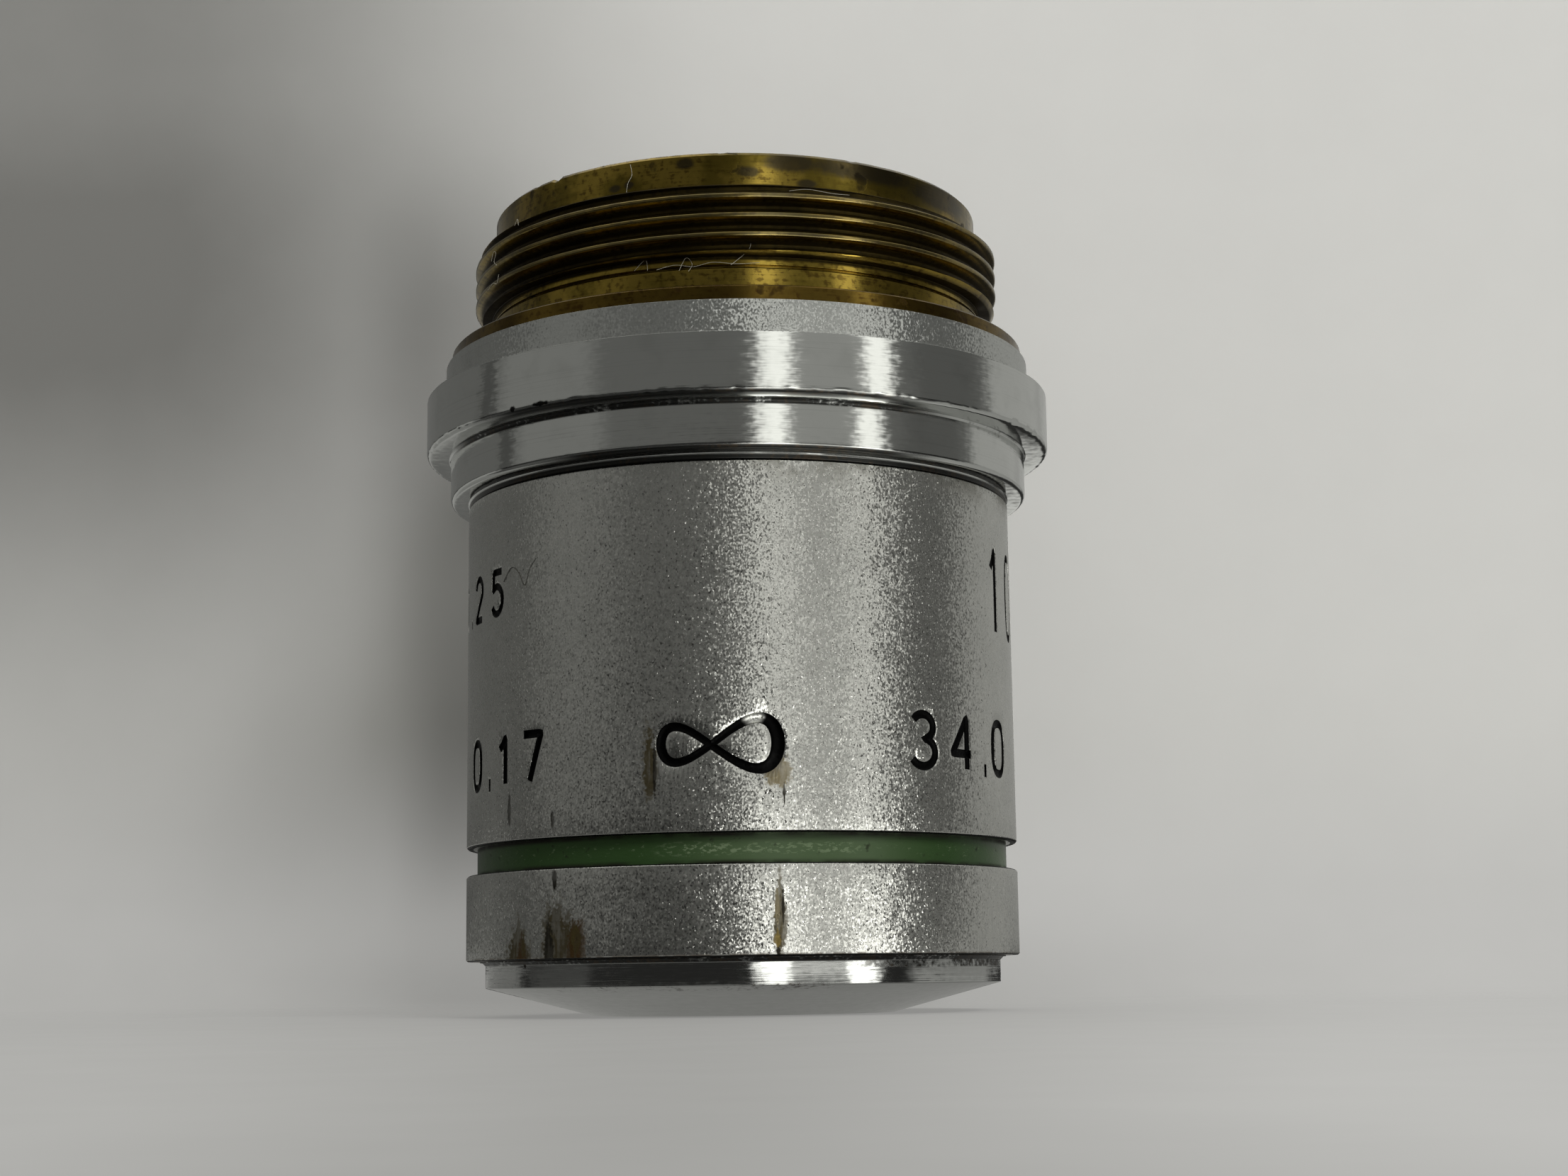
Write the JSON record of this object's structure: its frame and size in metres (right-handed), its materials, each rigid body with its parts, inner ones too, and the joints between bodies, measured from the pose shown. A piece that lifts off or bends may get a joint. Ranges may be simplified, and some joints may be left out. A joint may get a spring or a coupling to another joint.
{
  "type": "microscope objective",
  "caption": "Low-power achromatic microscope objective: threaded brass body, chromed collar and satin barrel with a green ring, polished nose cap, and a stack of cemented doublets inside",
  "frame": {"origin": "centre of the flat front face, on which the objective stands", "axes": "+Z along the optical axis, from the front face towards the mounting thread; the infinity sign faces -Y"},
  "size_m": [0.0238, 0.0238, 0.0304],
  "materials": {
    "brass": "satin",
    "polished_chrome": "polished",
    "satin_chrome": "satin",
    "green_enamel": "gloss",
    "blackened_brass": "matte",
    "blackened_aluminium": "matte",
    "optical_glass": "gloss"
  },
  "bodies": {
    "root": {"main_body": "brass", "shoulder_ring": "brass", "parfocal_shim": "brass", "shoulder_collar": "polished_chrome", "barrel_sleeve": "satin_chrome", "colour_band": "green_enamel", "nose_cap": "polished_chrome", "front_cell": "blackened_brass", "front_flint_lens": "optical_glass", "front_crown_lens": "optical_glass", "front_lens_ring": "blackened_brass", "front_spacer": "blackened_aluminium", "glare_stop": "blackened_aluminium", "rear_spacer": "blackened_aluminium", "rear_cell": "blackened_brass", "rear_flint_lens": "optical_glass", "rear_crown_lens": "optical_glass", "rear_lens_ring": "blackened_brass", "aperture_stop": "blackened_aluminium", "stack_ring": "blackened_brass"}
  },
  "joints": []
}
